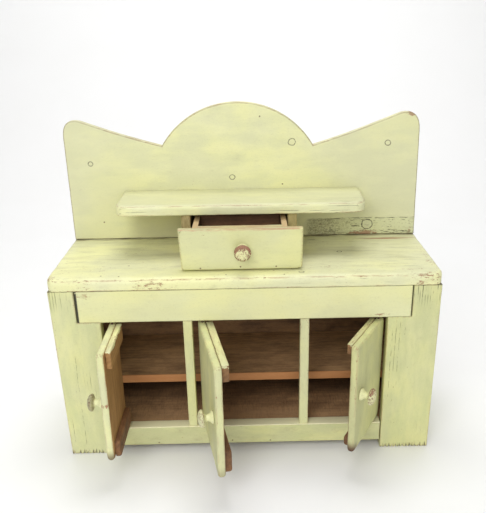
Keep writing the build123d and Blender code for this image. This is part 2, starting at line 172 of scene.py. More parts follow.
class Plank:
    """A plank cut to an outline, with rounded and worn edges and a slightly uneven surface."""

    def __init__(self, name, outline, thickness, matrix, edge=1.4 * MM, wear=0.5 * MM, seed=0,
                 front_edge=None, back_edge=None, arc_steps=3):
        self.name = name
        self.thickness = thickness
        self.matrix = matrix
        self.seed = seed
        self.wear = wear
        self.arc_steps = arc_steps
        self.outline = resampled(outline, OUTLINE_SPACING)
        self.normals = inward_normals(self.outline)
        self.front_edge = self.edge_radii(front_edge or (lambda x, y: edge))
        self.back_edge = self.edge_radii(back_edge or (lambda x, y: edge))
        self.co, self.distance, self.faces = [], [], []

    def edge_radii(self, rule):
        """Edge radius at each outline point, made uneven by wear and kept clear of narrow places."""
        radii = np.array([rule(x, y) for x, y in self.outline])
        steps = np.linalg.norm(np.roll(self.outline, -1, 0) - self.outline, axis=1)
        travelled = np.concatenate([[0], np.cumsum(steps)])
        around, travelled = travelled[-1], travelled[:-1]
        for i, point in enumerate(self.outline):
            gap = np.linalg.norm(self.outline - point, axis=1)
            along = np.abs(travelled - travelled[i])
            along = np.minimum(along, around - along)
            across = gap[(along > 4 * MM) & (gap < along * 0.6)]
            if len(across):
                radii[i] = min(radii[i], across.min() * 0.3)
        rough = np.array([wobble(x, y, 0, 0.022, self.seed + 5) for x, y in self.outline])
        return radii * (1 + 0.35 * rough)

    def ring(self, radii, angle, front):
        """One loop of points on the rounded edge, at an angle up from the side."""
        inset = radii * (1 - math.cos(angle))
        flat = self.outline + self.normals * inset[:, None]
        drop = radii * (1 - math.sin(angle))
        z = self.thickness - drop if front else drop
        arc = radii * abs(angle - math.pi / 4)
        return flat, z, arc

    def add(self, flat, z, distance):
        start = len(self.co)
        z = np.broadcast_to(z, len(flat))
        distance = np.broadcast_to(distance, len(flat))
        self.co.extend(zip(flat[:, 0], flat[:, 1], z))
        self.distance.extend(distance)
        return start

    def sheet(self, start, flat, radii, z, front):
        """Fills a face of the plank inside its last ring, with points close together near the edge."""
        count = len(flat)
        low, high = flat.min(0), flat.max(0)
        points = []
        rows = np.arange(low[0] + GRID / 2, high[0], GRID)
        columns = np.arange(low[1] + GRID / 2, high[1], GRID * 0.8)
        for i, x in enumerate(rows):
            points.extend((x, y + (i % 2) * GRID * 0.3) for y in columns)
        points = np.array(points) if points else np.zeros((0, 2))
        near = []
        if len(points):
            points = points[inside(points, flat)]
        if len(points):
            points = points[distance_to_outline(points, flat) > SHEET_INSETS[-1] + GRID * 0.35]
        for inset in SHEET_INSETS:
            extra = (self.outline + self.normals * (radii + inset)[:, None])[:: 1 if inset < 3 * MM else 2]
            keep = inside(extra, flat)
            keep[keep] = distance_to_outline(extra[keep], flat) > inset * 0.93
            near.append(extra[keep])
        inner = np.concatenate([points, *near])
        everything = [Vector(p) for p in flat] + [Vector(p) for p in inner]
        loop = [(i, (i + 1) % count) for i in range(count)]
        verts, _, faces, origin, _, _ = delaunay_2d_cdt(everything, loop, [], 1, 1e-7)
        gap = distance_to_outline(inner, flat) if len(inner) else np.zeros(0)
        first = self.add(inner, z, gap + radii.mean() * 0.8) if len(inner) else len(self.co)
        index = {}
        for new, olds in enumerate(origin):
            if olds:
                old = olds[0]
                index[new] = start + old if old < count else first + old - count
            else:
                index[new] = self.add(np.array([verts[new]]), z, radii.mean())
        for face in faces:
            corners = [index[v] for v in face]
            self.faces.append(corners if front else corners[::-1])

    def build(self):
        rings = []
        angles = [math.pi / 2 * k / self.arc_steps for k in range(self.arc_steps + 1)]
        for angle in reversed(angles):
            rings.append(self.ring(self.back_edge, angle, False))
        for angle in angles:
            rings.append(self.ring(self.front_edge, angle, True))
        starts = [self.add(*ring) for ring in rings]
        count = len(self.outline)
        for a, b in zip(starts, starts[1:]):
            for i in range(count):
                j = (i + 1) % count
                self.faces.append([a + i, a + j, b + j, b + i])
        self.sheet(starts[0], rings[0][0], self.back_edge, 0, False)
        self.sheet(starts[-1], rings[-1][0], self.front_edge, self.thickness, True)
        self.weather()
        return self

    def weather(self):
        """Moves the surface in by a little noise, and the worn edges by more, never outwards."""
        low, high = self.outline.min(0), self.outline.max(0)
        centre = (low + high) / 2
        reach = (high - low) / 2
        made = []
        for (x, y, z), gap in zip(self.co, self.distance):
            broad = 0.5 + 0.5 * wobble(x, y * 2.5, z, 0.09, self.seed)
            fine = 0.5 + 0.5 * wobble(x, y * 3, z * 3, 0.016, self.seed + 2)
            worn = max(0, wobble(x, y, z, 0.03, self.seed + 9)) * math.exp(-(gap / (2.2 * MM)) ** 2)
            inward = UNEVEN * (0.65 * broad + 0.35 * fine) + self.wear * worn * 0.6
            share_z = (z / self.thickness) * 2 - 1
            side_x = (x - centre[0]) / reach[0]
            side_y = (y - centre[1]) / reach[1]
            z -= math.copysign(inward, share_z) * abs(share_z) ** 3
            x -= math.copysign(inward, side_x) * abs(side_x) ** 40
            y -= math.copysign(inward, side_y) * abs(side_y) ** 40
            made.append((x, y, z))
        self.co = made

    def join(self, other, rise):
        """Takes in another plank's mesh, moved along local z."""
        start = len(self.co)
        self.co.extend((x, y, z + rise) for x, y, z in other.co)
        self.distance.extend(other.distance)
        self.faces.extend([start + corner for corner in face] for face in other.faces)

    def make_object(self):
        piece = mesh_object(self.name, self.co, self.faces, [gap / MM for gap in self.distance])
        piece.matrix_world = self.matrix
        return piece


def mesh_object(name, verts, faces, gaps):
    """A smooth mesh in the scene; gaps holds each vertex's distance from the nearest worn edge, in mm."""
    mesh = bpy.data.meshes.new(name)
    mesh.from_pydata([tuple(v) for v in verts], [], faces)
    attribute = mesh.attributes.new("edge_gap", "FLOAT", "POINT")
    attribute.data.foreach_set("value", np.array(gaps, np.float32))
    mesh.polygons.foreach_set("use_smooth", [True] * len(mesh.polygons))
    return placed_object(name, mesh)


def placed_object(name, data):
    """A new object in the scene."""
    made = bpy.data.objects.new(name, data)
    bpy.context.scene.collection.objects.link(made)
    return made


def rectangle(length, width, corner=1.5 * MM):
    """Rounded rectangle; corner is one radius, or one for each corner from the origin round by local x."""
    return rounded_outline([(0, 0), (length, 0), (length, width), (0, width)], corner, 7)


# ---- materials
class Graph:
    """A short way to write a material's nodes.

    here is the place on the piece in millimetres, with x along the grain; at is the same, moved so that
    no two pieces share a pattern.
    """

    def __init__(self, name, seed):
        self.material = bpy.data.materials.new(name)
        self.material.use_nodes = True
        self.tree = self.material.node_tree
        self.shader = self.tree.nodes["Principled BSDF"]
        coordinates = self.node("ShaderNodeTexCoord").outputs["Object"]
        self.here = self.vector("MULTIPLY", coordinates, (1000, 1000, 1000))
        self.at = self.vector("ADD", self.here, (seed * 371, seed * 113, seed * 57))
        self.x, self.y, self.z = self.node("ShaderNodeSeparateXYZ", {0: self.here}).outputs

    def node(self, kind, inputs=None, **settings):
        made = self.tree.nodes.new(kind)
        for key, value in settings.items():
            setattr(made, key, value)
        for key, value in (inputs or {}).items():
            self.feed(made.inputs[key], value)
        return made

    def feed(self, socket, value):
        if isinstance(value, bpy.types.NodeSocket):
            self.tree.links.new(value, socket)
        else:
            socket.default_value = value

    def vector(self, operation, a, b=(0, 0, 0)):
        made = self.node("ShaderNodeVectorMath", {0: a, 1: b}, operation=operation)
        return made.outputs["Value" if operation == "LENGTH" else "Vector"]

    def away(self, x, y, along=1, across=1):
        """Distance over the board's face from a place, with each axis scaled."""
        moved = self.vector("ADD", self.here, (-x, -y, 0))
        return self.vector("LENGTH", self.vector("MULTIPLY", moved, (along, across, 0)))

    def math(self, operation, a, b=0):
        made = self.node("ShaderNodeMath", {0: a, 1: b}, operation=operation)
        return made.outputs[0]

    def add(self, *values):
        total = values[0]
        for value in values[1:]:
            total = self.math("ADD", total, value)
        return total

    def times(self, *values):
        total = values[0]
        for value in values[1:]:
            total = self.math("MULTIPLY", total, value)
        return total

    def less(self, a, b):
        return self.math("SUBTRACT", a, b)

    def most(self, a, b):
        return self.math("MAXIMUM", a, b)

    def within(self, value, low, high):
        """0 at low and 1 at high, with a smooth step between; low may be the larger."""
        inputs = {"Value": value, "From Min": low, "From Max": high}
        return self.node("ShaderNodeMapRange", inputs, interpolation_type="SMOOTHSTEP").outputs[0]

    def mix(self, share, a, b):
        made = self.node("ShaderNodeMix", data_type="RGBA")
        for socket in made.inputs:
            if socket.name == "Factor" and socket.type == "VALUE":
                self.feed(socket, share)
            for key, value in (("A", a), ("B", b)):
                if socket.name == key and socket.type == "RGBA":
                    self.feed(socket, (*value, 1) if isinstance(value, tuple) else value)
        return next(s for s in made.outputs if s.type == "RGBA")

    def stretched(self, scale, turn=0):
        inputs = {"Vector": self.at, "Rotation": (0, 0, turn), "Scale": scale}
        return self.node("ShaderNodeMapping", inputs).outputs[0]

    def noise(self, stretch, scale, detail=3, roughness=0.55, turn=0):
        """Noise drawn out along the grain when stretch is below 1; scale is in features per millimetre."""
        drawn_out = self.stretched((stretch, 1, 1), turn)
        inputs = {"Vector": drawn_out, "Scale": scale, "Detail": detail, "Roughness": roughness}
        return self.node("ShaderNodeTexNoise", inputs).outputs[0]

    def patch(self, low, high, *shape):
        """Noise of a shape cut to soft-edged patches: 0 where it is at low, 1 at high."""
        return self.within(self.noise(*shape), low, high)

    def waver(self, amount, *shape):
        """Noise of a shape that moves a line to and fro by up to half of amount."""
        return self.times(self.less(self.noise(*shape), 0.5), amount)

    def cells(self, stretch, scale):
        inputs = {"Vector": self.stretched((stretch, 1, 1)), "Scale": scale}
        return self.node("ShaderNodeTexVoronoi", inputs, feature="DISTANCE_TO_EDGE").outputs[0]

    def grain_lines(self, spacing, wander, thin, thick):
        """Thin broken lines along the grain, about spacing millimetres apart."""
        drift = self.waver(wander, 0.2, 0.03, 2)
        ragged = self.waver(1.1, 0.3, 0.5, 2)
        across = self.add(self.y, self.times(self.z, 0.83), drift, ragged)
        made = self.node("ShaderNodeTexVoronoi", {"W": across, "Scale": 1 / spacing},
                         voronoi_dimensions="1D", feature="DISTANCE_TO_EDGE")
        return self.within(made.outputs[0], thick / spacing, thin / spacing)

    def edge_gap(self):
        return self.node("ShaderNodeAttribute", attribute_name="edge_gap").outputs["Fac"]

    def done(self, colour, roughness, height, bump_mm=1):
        bump = self.node("ShaderNodeBump", {"Height": height, "Distance": bump_mm * MM}).outputs[0]
        for key, value in (("Base Color", colour), ("Roughness", roughness), ("Normal", bump)):
            self.feed(self.shader.inputs[key], value)
        return self.material


def scaled(colour, share):
    return tuple(c * share for c in colour)


def linear(red, green, blue):
    """A colour given as screen values from 11 to 255, made linear."""
    return tuple(((c / 255 + 0.055) / 1.055) ** 2.4 for c in (red, green, blue))


PAINT = linear(229, 229, 183)
PAINT_YELLOW = linear(232, 230, 172)
PAINT_GREY = linear(210, 209, 170)
PAINT_GREEN = linear(206, 212, 160)
PRIMER = linear(158, 102, 78)
CHIPPED_WOOD = linear(178, 142, 106)
GRIME = linear(128, 116, 82)
CRACK = linear(58, 48, 32)
WOOD_DARK = linear(132, 100, 68)
WOOD_MID = linear(190, 150, 106)
WOOD_GOLD = linear(182, 140, 84)
WOOD_ORANGE = linear(184, 122, 68)
WOOD_TAN = linear(205, 178, 132)
SHADED_DARK = linear(84, 58, 40)
SHADED_LIGHT = linear(124, 88, 60)


class Surface:
    """Colour, height and roughness of a surface while layers are put on it."""

    def __init__(self, g, colour, height, roughness):
        self.g = g
        self.colour = colour
        self.height = height
        self.roughness = roughness

    def layer(self, mask, colour, share=1, sink=0, rough=0):
        """Lays a colour over the surface where mask is 1, sunk by so many millimetres."""
        g = self.g
        self.colour = g.mix(g.times(mask, share), self.colour, colour)
        if sink:
            self.height = g.less(self.height, g.times(mask, sink))
        if rough:
            self.roughness = g.add(self.roughness, g.times(mask, rough))

    def finish(self):
        return self.g.done(self.colour, self.roughness, self.height)


def knot(s, x, y, radius, strength=0.75, heart=0.15, flat=1):
    """A dark ring where a knot shows through the paint, at a place in millimetres."""
    g = s.g
    reach = g.add(g.away(x, y, 0.94, flat), g.waver(radius * 0.45, 1, 0.16, 2))
    ring = g.within(g.math("ABSOLUTE", g.less(reach, radius)), 1.4, 0.3)
    broken = g.patch(0.28, 0.44, 1, 0.3, 2)
    s.layer(g.within(reach, radius, radius * 0.4), PAINT_GREY, heart)
    s.layer(g.times(ring, broken), CRACK, strength, sink=0.3)


def paint_base(g, green, grey, streak, shade):
    """Brushed paint: slow clouds of tone, streaks along the grain, and a fine mottle."""
    # Painted shade: a shade below 1 darkens every tone of this piece, the blue most.
    darker = (shade, shade, shade ** 1.8)
    tones = (PAINT, PAINT_YELLOW, PAINT_GREY, PAINT_GREEN)
    plain, yellow, dull, leafy = (tuple(c * d for c, d in zip(tone, darker)) for tone in tones)
    cloud = g.noise(0.7, 0.01, 3)
    patch = g.noise(0.35, 0.03, 4, 0.6)
    broad = g.noise(0.08, 0.16, 5, 0.65)
    fine = g.noise(0.04, 0.7, 3, 0.6)
    mottle = g.noise(0.7, 0.3, 4, 0.7)
    colour = g.mix(g.within(cloud, 0.32, 0.68), yellow, plain)
    colour = g.mix(g.times(g.within(patch, 0.32, 0.76), green), colour, leafy)
    colour = g.mix(g.times(g.within(g.add(cloud, g.times(patch, 0.6)), 0.66, 0.98), grey), colour, dull)
    colour = g.mix(g.times(g.within(broad, 0.5, 0.72), streak), colour, dull)
    colour = g.mix(g.times(g.within(fine, 0.52, 0.8), streak * 0.7), colour, leafy)
    colour = g.mix(g.times(g.within(mottle, 0.5, 0.8), 0.16), colour, GRIME)
    height = g.add(g.times(broad, 0.22), g.times(fine, 0.08), g.times(mottle, 0.08))
    return Surface(g, colour, height, g.add(g.times(broad, 0.14), 0.46))


def chip_layers(s, specks, edges):
    """Missing paint: ragged specks on the faces, more of them at the edges, and a rubbed line on the rims."""
    g = s.g
    gap = g.edge_gap()
    ragged = g.noise(0.45, 0.3, 5, 0.72)
    where = g.times(g.noise(0.4, 0.022, 3, 0.6), 0.35)
    rim = g.within(gap, 3.2, 0.4)
    close = g.add(g.times(g.within(gap, 16, 1), 0.02), g.times(rim, 0.02 + edges * 0.05))
    level = g.add(ragged, where, close)
    limit = 0.905 - specks * 0.05
    along = g.add(g.noise(0.12, 0.25, 5, 0.7), where)
    under = g.mix(g.patch(0.4, 0.62, 0.6, 0.3, 3), PRIMER, CHIPPED_WOOD)
    s.layer(g.times(rim, g.within(along, 0.63, 0.74)), under, 0.6 * edges, sink=0.05)
    s.layer(g.within(level, limit - 0.03, limit), GRIME, 0.4)
    s.layer(g.within(level, limit, limit + 0.015), under, 0.85, sink=0.22, rough=0.2)


def crack_layer(s, mask, share=0.8, spacing=7, wander=10, thick=0.5):
    """Cracks along the grain where mask allows them."""
    g = s.g
    lines = g.grain_lines(spacing, wander, 0.12, thick)
    broken = g.patch(0.46, 0.58, 0.1, 0.2, 3)
    s.layer(g.times(lines, broken, mask), CRACK, share, sink=0.6)


def grime_layer(s, dirt):
    """Fine dark specks and smudges held by the texture."""
    g = s.g
    smudge = g.patch(0.52, 0.8, 0.5, 0.05, 5, 0.7)
    dots = g.patch(0.72, 0.78, 0.7, 0.55, 2, 0.5)
    s.layer(smudge, GRIME, dirt * 0.35)
    s.layer(dots, CRACK, dirt * 0.8)


def painted(name, seed, green=0.3, grey=0.3, streak=0.25, specks=0.3, edges=0.6, cracks=0, dirt=0.3,
            shade=1, extra=None):
    """Old yellow-green paint; extra adds what only this piece has; a shade below 1 is painted shade, darkening the
    whole palette, its blue most, for a piece that gets less light.
    """
    g = Graph(name, seed)
    s = paint_base(g, green, grey, streak, shade)
    if cracks:
        crack_layer(s, g.patch(0.66 - cracks * 0.3, 0.78 - cracks * 0.3, 0.3, 0.02, 2), 0.6)
    grime_layer(s, dirt)
    chip_layers(s, specks, edges)
    if extra:
        extra(s)
    return s.finish()


def wood_surface(g, dark, light, stain, figure):
    """Pine: growth rings along local x, as strong as figure says, pores, and stains."""
    bow = g.times(g.noise(0.25, 0.012, 2), 60)
    rings = g.math("SINE", g.times(g.add(g.y, g.times(g.z, 0.8), bow), 0.55))
    broad = g.noise(0.15, 0.07, 4, 0.6)
    fine = g.noise(0.05, 0.9, 3, 0.65)
    cloud = g.noise(0.5, 0.03, 4, 0.65)
    pores = g.noise(0.35, 0.5, 4, 0.7)
    tone = g.add(g.times(rings, figure), g.times(broad, 0.3), g.times(fine, 0.1), g.times(cloud, 0.5),
                 g.times(pores, 0.3))
    colour = g.mix(g.within(tone, 0.42, 0.78), dark, light)
    height = g.add(g.times(broad, 0.3), g.times(fine, 0.25))
    s = Surface(g, colour, height, g.add(0.66, g.times(fine, 0.2)))
    s.layer(g.patch(0.5, 0.74, 0.5, 0.022, 5, 0.7), scaled(dark, 0.4), stain)
    lines = g.times(g.grain_lines(23, 14, 0.1, 0.6), g.patch(0.5, 0.6, 0.08, 0.15, 2))
    s.layer(lines, CRACK, 0.5, sink=0.3)
    return s


def bare_wood(name, seed, dark=WOOD_DARK, light=WOOD_MID, stain=0.4, saw=0, extra=None):
    """Bare pine all over; saw is how strongly slanting saw marks show."""
    g = Graph(name, seed)
    s = wood_surface(g, dark, light, stain, 0.02)
    if saw:
        marks = g.noise(8, 0.05, 3, 0.55, turn=0.6)
        s.layer(g.within(marks, 0.46, 0.7), scaled(dark, 0.4), saw, sink=0.25)
    if extra:
        extra(s)
    return s.finish()


def half_painted(name, seed, bare_where, dark, light, extra=None, **look):
    """Paint over most of a piece, and bare wood where bare_where(g) is 1."""
    def lay_wood(s):
        g = s.g
        wood = wood_surface(g, dark, light, 0.25, 0.05)
        s.layer(bare_where(g), wood.colour, 1, rough=0.2)
        if extra:
            extra(s)

    return painted(name, seed, extra=lay_wood, **look)


def nail_steel():
    """Dull dark steel with rust patches."""
    g = Graph("old_nail_steel", 3)
    rust = g.patch(0.45, 0.6, 1, 0.9, 4)
    g.shader.inputs["Metallic"].default_value = 0.6
    colour = g.mix(rust, linear(92, 84, 76), linear(112, 62, 38))
    return g.done(colour, g.add(0.45, g.times(rust, 0.4)), g.noise(1, 1.5), 0.1)


# ---- marks of single pieces
def near(g, x, y, across, along):
    """1 around a place on the board and 0 beyond an ellipse about it."""
    return g.within(g.away(x, y, 1 / along, 1 / across), 1, 0.1)


def worn_through(s, place, cover, colour=PRIMER):
    """A ragged loss of paint, thickest at a place; cover from 0 to 1 is how much of it is gone."""
    g = s.g
    ragged = g.add(g.noise(0.3, 0.34, 5, 0.75), g.times(place, 0.06 + cover * 0.1))
    gone = g.times(g.within(ragged, 0.685, 0.705), g.within(place, 0.02, 0.2))
    s.layer(gone, colour, 0.75, sink=0.2, rough=0.1)


def worn_spots(s, spots):
    """Several ragged losses of paint; each is its place, its reach across and along, and its cover."""
    for x, y, across, along, cover in spots:
        worn_through(s, near(s.g, x, y, across, along), cover)


def joint_dirt_and_shadow(s, distance, width=2, share=0.75):
    """Dirt and painted shadow in the joint at the edge of a board; distance is measured from that edge."""
    g = s.g
    broken = g.patch(0.36, 0.6, 0.25, 0.05, 4, 0.7)
    s.layer(g.times(g.within(distance, width, width * 0.35), g.add(g.times(broken, 0.6), 0.4)), CRACK, share)


def nail_dots(s, places):
    for x, y in places:
        s.layer(s.g.within(s.g.away(x, y), 2.2, 1), linear(96, 62, 40), 0.85, sink=0.4)


def backboard_marks(s):
    """Knots, duller ends, a band of painted shadow below the shelf, and a strip of flaking paint at the lower
    right.
    """
    g = s.g
    s.layer(g.within(g.x, 420, 640), PAINT_GREY, 0.4)
    s.layer(g.within(g.x, 240, 40), PAINT_GREY, 0.45)
    in_front = g.within(g.z, 4, 8)
    span = g.times(g.within(g.x, 110, 150), g.within(g.x, 600, 540))
    # Painted shadow: a darker band on the front face under the upper shelf.
    s.layer(g.times(g.within(g.y, 96, 84), span, in_front), linear(176, 170, 122), 0.4)
    for x, y, radius in ((52, 171, 4.6), (354.5, 137, 5.2), (483, 211, 7.2), (688, 206, 5.6)):
        knot(s, x, y, radius)
    level = g.add(g.y, g.waver(12, 0.3, 0.06, 3))
    strip = g.times(g.within(g.x, 508, 530), g.within(level, 43, 36), in_front)
    dark_end = g.times(strip, g.within(g.x, 650, 540))
    s.layer(strip, PAINT_GREEN, 0.35)
    s.layer(dark_end, GRIME, 0.45)
    s.layer(g.times(dark_end, g.patch(0.5, 0.6, 0.8, 0.45, 3, 0.6)), CRACK, 0.5, sink=0.25)
    flecks = g.add(g.noise(0.22, 0.34, 5, 0.75), g.times(g.within(g.y, 14, 2), 0.05))
    s.layer(g.times(strip, g.within(flecks, 0.58, 0.64)), GRIME, 0.9, sink=0.4)
    s.layer(g.times(strip, g.patch(0.6, 0.66, 0.25, 0.3, 4, 0.7)), PAINT, 0.8)
    cracks = g.patch(0.63, 0.66, 0.16, 0.24, 4, 0.7)
    s.layer(g.times(strip, cracks), CRACK, 0.75, sink=0.5)
    upper_rim = g.within(g.math("ABSOLUTE", g.less(level, 39)), 1.4, 0.3)
    rim = g.times(in_front, g.within(g.x, 530, 560), upper_rim)
    s.layer(g.times(rim, g.patch(0.42, 0.54, 0.3, 0.2)), CRACK, 0.7, sink=0.4)
    worn_spots(s, (
        (646, 5, 12, 56, 2.2), (748, 8, 20, 10, 1.2), (738, 268, 12, 20, 2.4)))
    s.layer(g.within(g.edge_gap(), 2.6, 0.8), GRIME, 0.45)
    joint_dirt_and_shadow(s, g.y, 2.4, 0.85)
    knot(s, 652, 25, 11, strength=0.9, heart=0.6)
    nail_dots(s, ((68.5, 40), (415, 266), (463, 120)))


def worktop_marks(s):
    """Two small knots, nail marks, worn front corners, and rubbed and dirty streaks along the grain."""
    g = s.g
    s.layer(g.times(g.within(g.x, 420, 620), g.within(g.y, 40, 90)), PAINT_GREY, 0.5)
    dull = g.times(g.patch(0.46, 0.7, 0.15, 0.06, 5, 0.65), g.within(g.y, 24, 60))
    s.layer(dull, GRIME, 0.2)
    crack_layer(s, g.times(g.within(g.x, 440, 560), g.patch(0.5, 0.6, 0.3, 0.03, 2)), 0.6)
    knot(s, 577, 130, 4.6, strength=0.9, flat=1.3)
    knot(s, 489, 22, 4.5, flat=1.2)
    nail_dots(s, ((147.5, 71), (102, 20), (137, 16), (455, 12), (343, 15)))
    worn_spots(s, (
        (60, 3, 14, 60, 0.4), (6, 14, 22, 16, 1), (730, 3, 14, 60, 0.9),
        (712, 26, 6, 80, 1), (752, 80, 120, 18, 0.7), (200, 0, 5, 80, 0.7)))
    streak = g.times(near(g, 692, 209, 9, 90), g.patch(0.36, 0.5, 0.06, 0.25, 4, 0.7))
    s.layer(streak, PRIMER, 0.95)
    s.layer(g.times(near(g, 527, 207, 6, 22), g.patch(0.36, 0.5, 0.2, 0.3, 4)), CRACK, 0.5)
    at_board = g.times(g.within(g.y, 222, 233), g.patch(0.36, 0.6, 0.2, 0.1, 3))
    s.layer(at_board, GRIME, 0.75)


def dashes(s, y, low, high):
    """A fine broken line along the grain at y, between two places along the board."""
    g = s.g
    gap = g.math("ABSOLUTE", g.add(g.less(g.y, y), g.waver(5, 0.3, 0.03, 2)))
    line = g.times(g.within(gap, 0.7, 0.2), g.within(g.x, low, low + 10), g.within(g.x, high, high - 10))
    s.layer(g.times(line, g.patch(0.46, 0.56, 0.25, 0.25, 4, 0.7)), CRACK, 0.5, sink=0.4)


def post_marks(height, checks, lines):
    """End checks below the worktop and at the foot, and fine lines along the grain."""
    def lay(s):
        g = s.g
        top = g.within(g.add(g.x, g.times(g.noise(0, 0.3, 2), 60)), height - 22, height + 18)
        crack_layer(s, top, checks, spacing=5.5, wander=4, thick=0.9)
        foot = g.within(g.add(g.x, g.times(g.noise(0, 0.25, 2), 18)), 22, 12)
        crack_layer(s, foot, 1, spacing=7, wander=3, thick=2)
        s.layer(g.times(g.within(g.x, 4, 0), g.patch(0.45, 0.6, 1, 0.1, 3)), GRIME, 0.7)
        for y, low, high in lines:
            dashes(s, y, low, high)
        # Painted shadow with dirt: a dark line on the post just under the worktop.
        joint_dirt_and_shadow(s, g.less(height, g.x), 2.4, 0.85)
        specks = g.patch(0.7, 0.75, 0.6, 0.16, 3, 0.6)
        s.layer(specks, GRIME, 0.6, sink=0.2)

    return lay


def rail_end_marks(length, height):
    """Black dirt and painted shadow in the joints at both ends and along the top of the top rail, and a chip at
    its left end.
    """
    def lay(s):
        g = s.g
        # Painted shadow with dirt: near-black lines in the gaps at both ends, by the posts.
        end = g.most(g.within(g.x, 4.4, 2.6), g.within(g.x, length - 4.4, length - 2.6))
        s.layer(g.times(end, g.patch(0.24, 0.4, 1, 0.12, 3, 0.7)), linear(24, 19, 14), 0.95, sink=0.5)
        # Painted shadow with dirt: a dark line along the top of the rail, under the worktop.
        joint_dirt_and_shadow(s, g.less(height, g.y), 2.2, 0.8)
        joint_dirt_and_shadow(s, g.y, 1.8, 0.5)
        worn_through(s, near(g, 12, 58, 12, 26), 1.2, CHIPPED_WOOD)
        worn_through(s, near(g, length - 60, 6, 4, 30), 1.2)

    return lay


def bare_behind(depth):
    """Bare wood on the face away from the room, with a wavering line where the paint stops."""
    return lambda g: g.within(g.add(g.z, g.noise(1, 0.1, 2)), depth + 1.4, depth + 0.8)


def bare_below_top(g):
    """Bare wood except on the top edge, where torn paint hangs over a little."""
    torn = g.times(g.patch(0.45, 0.7, 1, 0.05, 3), 9)
    return g.within(g.less(g.y, torn), 1.6, 2.4)


# ---- putting pieces on the frame
BODY_OF = {node: body for body, nodes in frame["record"]["behaviour"]["bodies"].items() for node in nodes}


def settle(piece, node, material):
    """Gives a piece its material and makes it stand for a CAD node."""
    piece.data.materials.append(material)
    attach(piece, BODY_OF[node])
    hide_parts(node)
    return piece


def node_box(node, turned=None):
    """A node's box, in the row frame or in the frame of an opened door."""
    if turned is None:
        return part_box(node)
    back = turned.inverted()
    return extent([back @ v.co for v in frame["nodes"][node].data.vertices])


def simple_board(node, grain, outward, material, corner=1.5 * MM, turned=None, trim=0, lean=0, **options):
    """A square-edged board that fills a CAD node's box; turned is the frame of an opened door.

    corner is one radius or one for each corner, and lean thins the board down to its lower end.
    """
    low, high = node_box(node, turned)
    matrix, length, width, thickness = board_frame(low, high, grain, outward)
    outline = rectangle(length - 2 * trim, width, corner)
    matrix = (turned or Matrix()) @ matrix @ Matrix.Translation((trim, 0, 0))
    plank = Plank(f"{node}_wood", outline, thickness, matrix, **options).build()
    if lean:
        plank.co = [(x, y, z - lean * (1 - x / length) * z / thickness) for x, y, z in plank.co]
    return settle(plank.make_object(), node, material)


def door_turn(side):
    """The frame of a door: its pin axis, turned from closed to where it stands open."""
    joint = next(j for j in frame["joints"] if j["name"] == f"{side}_door_hinge")
    opened = math.radians(-joint["range_deg"][0])
    turn = Matrix.Rotation(opened, 4, Vector(joint["axis"]))
    return Matrix.Translation(Vector(joint["pos_m"])) @ turn


def smooth_step(value, low, high):
    t = min(max((value - low) / (high - low), 0), 1)
    return t * t * (3 - 2 * t)


# ---- worktop and backboard
def make_worktop():
    low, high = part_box("countertop")
    length, depth = high.x - low.x, high.y - low.y
    outline = rectangle(length, depth, (18 * MM, 18 * MM, 1 * MM, 1 * MM))

    def top_edge(x, y):
        if y > depth - 3 * MM:
            return 1 * MM
        return (12 - 8 * smooth_step(y, 3 * MM, 20 * MM)) * MM

    plank = Plank("worktop_wood", outline, high.z - low.z, frame_from(low, RIGHT, UP), seed=1,
                  front_edge=top_edge, back_edge=lambda x, y: 2.5 * MM, arc_steps=6, wear=0.7 * MM)
    look = painted("worktop_paint", 1, green=0.2, grey=0.6, streak=0.12, specks=0.8, edges=0.8,
                   dirt=0.6, extra=worktop_marks)
    settle(plank.build().make_object(), "countertop", look)


def arc_through(a, b, c, steps):
    """Points of the circular arc from a over b to c."""
    (ax, ay), (bx, by), (cx, cy) = a, b, c
    d = 2 * (ax * (by - cy) + bx * (cy - ay) + cx * (ay - by))
    aa, bb, cc = ax * ax + ay * ay, bx * bx + by * by, cx * cx + cy * cy
    ux = (aa * (by - cy) + bb * (cy - ay) + cc * (ay - by)) / d
    uy = (aa * (cx - bx) + bb * (ax - cx) + cc * (bx - ax)) / d
    radius = math.hypot(ax - ux, ay - uy)
    turns = np.linspace(math.atan2(ay - uy, ax - ux), math.atan2(cy - uy, cx - ux), steps)
    return [(ux + radius * math.cos(t), uy + radius * math.sin(t)) for t in turns]


def backboard_outline(low, high):
    """The wings and the arch, measured from the lower left corner of the backboard's box."""
    notch_left, notch_right = (-173 * MM, 607 * MM), (149 * MM, 604 * MM)
    arch = arc_through(notch_left, (-15 * MM, high.z), notch_right, 46)
    points = [(low.x, low.z), (high.x, low.z), (374 * MM, 684 * MM), *arch[::-1], (-379.5 * MM, 673.5 * MM)]
    radii = [1 * MM, 1 * MM, 38 * MM] + [0] * len(arch) + [34 * MM]
    outline = rounded_outline([(x - low.x, z - low.z) for x, z in points], radii, 9)
    return [Vector((x, z - wing_sag(x + low.x, z + low.z))) for x, z in resampled(outline, 6 * MM)]


def wing_sag(x, z):
    """How far the tops of the wings dip below a straight line."""
    for inner, outer in ((-173 * MM, -345 * MM), (149 * MM, 336 * MM)):
        share = (x - inner) / (outer - inner)
        if z > 590 * MM and 0 < share < 1:
            return 2.5 * MM * 4 * share * (1 - share)
    return 0


def make_backboard():
    low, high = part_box("backboard")
    matrix = frame_from((low.x, high.y, low.z), RIGHT, FRONT)
    plank = Plank("backboard_wood", backboard_outline(low, high), high.y - low.y, matrix, edge=2.5 * MM,
                  seed=2, wear=0.6 * MM)
    look = painted("backboard_paint", 2, green=0.35, grey=0.6, streak=0.14, specks=0.12, edges=1,
                   dirt=0.3, extra=backboard_marks)
    settle(plank.build().make_object(), "backboard", look)


# ---- front frame
LEFT_FOOT_TAPER = 6 * MM


